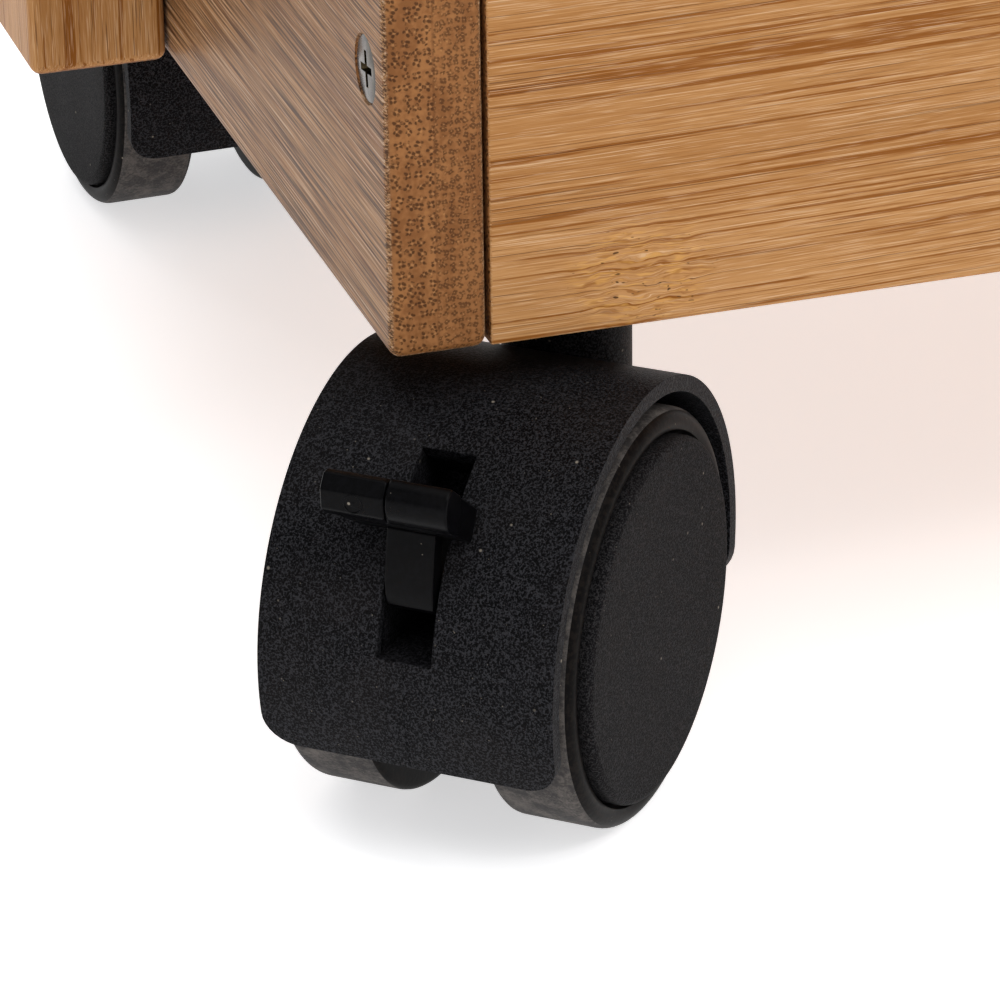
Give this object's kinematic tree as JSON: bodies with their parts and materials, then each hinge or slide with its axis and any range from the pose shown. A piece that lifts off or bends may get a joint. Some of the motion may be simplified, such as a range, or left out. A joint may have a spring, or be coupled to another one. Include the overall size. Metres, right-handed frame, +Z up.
{
  "type": "rolling utility cart",
  "caption": "Slim bamboo utility cart: box trays between two uprights with a round handle bar, on swivelling twin-wheel casters with brake levers.",
  "frame": {"origin": "on the floor, under the middle of the cart", "axes": "+X along the cart from its left end to its right, +Y from its front long side to its back, +Z up"},
  "size_m": [0.4766, 0.2986, 0.7598],
  "materials": {
    "bamboo": "clear satin lacquer over streaked bamboo grain",
    "bamboo_floor": "clear satin lacquer over flat bamboo ply",
    "black_plastic": "fine grained moulded black",
    "wheel_plastic": "finely textured moulded black",
    "tread_rubber": "dusty dark grey",
    "screw_steel": "nickel plated",
    "stem_steel": "zinc plated"
  },
  "bodies": {
    "frame": {"lower_tray_left_board": "bamboo", "lower_tray_right_board": "bamboo", "lower_tray_front_board": "bamboo", "lower_tray_back_board": "bamboo", "lower_tray_floor": "bamboo_floor", "middle_tray_left_board": "bamboo", "middle_tray_right_board": "bamboo", "middle_tray_front_board": "bamboo", "middle_tray_back_board": "bamboo", "middle_tray_floor": "bamboo_floor", "upper_tray_left_board": "bamboo", "upper_tray_right_board": "bamboo", "upper_tray_front_board": "bamboo", "upper_tray_back_board": "bamboo", "upper_tray_floor": "bamboo_floor", "left_upright": "bamboo", "right_upright": "bamboo", "handle_bar": "bamboo", "handle_screw_left": "screw_steel", "handle_screw_right": "screw_steel", "corner_screw_front_left": "screw_steel", "corner_screw_front_right": "screw_steel", "corner_screw_back_left": "screw_steel", "corner_screw_back_right": "screw_steel", "front_caster_rail": "bamboo", "back_caster_rail": "bamboo", "front_left_caster_stem": "stem_steel", "back_left_caster_stem": "stem_steel", "back_right_caster_stem": "stem_steel", "front_right_caster_stem": "stem_steel"},
    "front_left_caster": {"front_left_caster_hood": "black_plastic", "front_left_axle": "stem_steel", "front_left_brake_pin": "stem_steel"},
    "front_left_brake": {"front_left_brake_lever": "black_plastic"},
    "front_left_wheel_1": {"front_left_wheel_1": "wheel_plastic", "front_left_tread_1": "tread_rubber"},
    "front_left_wheel_2": {"front_left_wheel_2": "wheel_plastic", "front_left_tread_2": "tread_rubber"},
    "back_left_caster": {"back_left_caster_hood": "black_plastic", "back_left_axle": "stem_steel"},
    "back_left_wheel_1": {"back_left_wheel_1": "wheel_plastic", "back_left_tread_1": "tread_rubber"},
    "back_left_wheel_2": {"back_left_wheel_2": "wheel_plastic", "back_left_tread_2": "tread_rubber"},
    "back_right_caster": {"back_right_caster_hood": "black_plastic", "back_right_axle": "stem_steel", "back_right_brake_pin": "stem_steel"},
    "back_right_brake": {"back_right_brake_lever": "black_plastic"},
    "back_right_wheel_1": {"back_right_wheel_1": "wheel_plastic", "back_right_tread_1": "tread_rubber"},
    "back_right_wheel_2": {"back_right_wheel_2": "wheel_plastic", "back_right_tread_2": "tread_rubber"},
    "front_right_caster": {"front_right_caster_hood": "black_plastic", "front_right_axle": "stem_steel"},
    "front_right_wheel_1": {"front_right_wheel_1": "wheel_plastic", "front_right_tread_1": "tread_rubber"},
    "front_right_wheel_2": {"front_right_wheel_2": "wheel_plastic", "front_right_tread_2": "tread_rubber"}
  },
  "joints": [
    {"name": "front_left_swivel", "type": "hinge", "parent": "frame", "child": "front_left_caster", "pos_m": [-0.1921, -0.10045, 0.0573], "axis": [0, 0, 1], "continuous": true},
    {"name": "front_left_brake", "type": "hinge", "parent": "front_left_caster", "child": "front_left_brake", "pos_m": [-0.21535, -0.12729, 0.03699], "axis": [0.7559, -0.6547, 0], "range_deg": [0, 15]},
    {"name": "front_left_wheel_1_spin", "type": "hinge", "parent": "front_left_caster", "child": "front_left_wheel_1", "pos_m": [-0.20519, -0.11557, 0.025], "axis": [0.7559, -0.6547, 0], "continuous": true},
    {"name": "front_left_wheel_2_spin", "type": "hinge", "parent": "front_left_caster", "child": "front_left_wheel_2", "pos_m": [-0.20519, -0.11557, 0.025], "axis": [0.7559, -0.6547, 0], "continuous": true},
    {"name": "back_left_swivel", "type": "hinge", "parent": "frame", "child": "back_left_caster", "pos_m": [-0.1921, 0.10045, 0.0573], "axis": [0, 0, 1], "continuous": true},
    {"name": "back_left_wheel_1_spin", "type": "hinge", "parent": "back_left_caster", "child": "back_left_wheel_1", "pos_m": [-0.1914, 0.08046, 0.025], "axis": [0.9994, 0.0349, 0], "continuous": true},
    {"name": "back_left_wheel_2_spin", "type": "hinge", "parent": "back_left_caster", "child": "back_left_wheel_2", "pos_m": [-0.1914, 0.08046, 0.025], "axis": [0.9994, 0.0349, 0], "continuous": true},
    {"name": "back_right_swivel", "type": "hinge", "parent": "frame", "child": "back_right_caster", "pos_m": [0.1921, 0.10045, 0.0573], "axis": [0, 0, 1], "continuous": true},
    {"name": "back_right_brake", "type": "hinge", "parent": "back_right_caster", "child": "back_right_brake", "pos_m": [0.21535, 0.12729, 0.03699], "axis": [-0.7559, 0.6547, 0], "range_deg": [0, 15]},
    {"name": "back_right_wheel_1_spin", "type": "hinge", "parent": "back_right_caster", "child": "back_right_wheel_1", "pos_m": [0.20519, 0.11557, 0.025], "axis": [-0.7559, 0.6547, 0], "continuous": true},
    {"name": "back_right_wheel_2_spin", "type": "hinge", "parent": "back_right_caster", "child": "back_right_wheel_2", "pos_m": [0.20519, 0.11557, 0.025], "axis": [-0.7559, 0.6547, 0], "continuous": true},
    {"name": "front_right_swivel", "type": "hinge", "parent": "frame", "child": "front_right_caster", "pos_m": [0.1921, -0.10045, 0.0573], "axis": [0, 0, 1], "continuous": true},
    {"name": "front_right_wheel_1_spin", "type": "hinge", "parent": "front_right_caster", "child": "front_right_wheel_1", "pos_m": [0.19336, -0.08049, 0.025], "axis": [-0.998, 0.0628, 0], "continuous": true},
    {"name": "front_right_wheel_2_spin", "type": "hinge", "parent": "front_right_caster", "child": "front_right_wheel_2", "pos_m": [0.19336, -0.08049, 0.025], "axis": [-0.998, 0.0628, 0], "continuous": true}
  ]
}
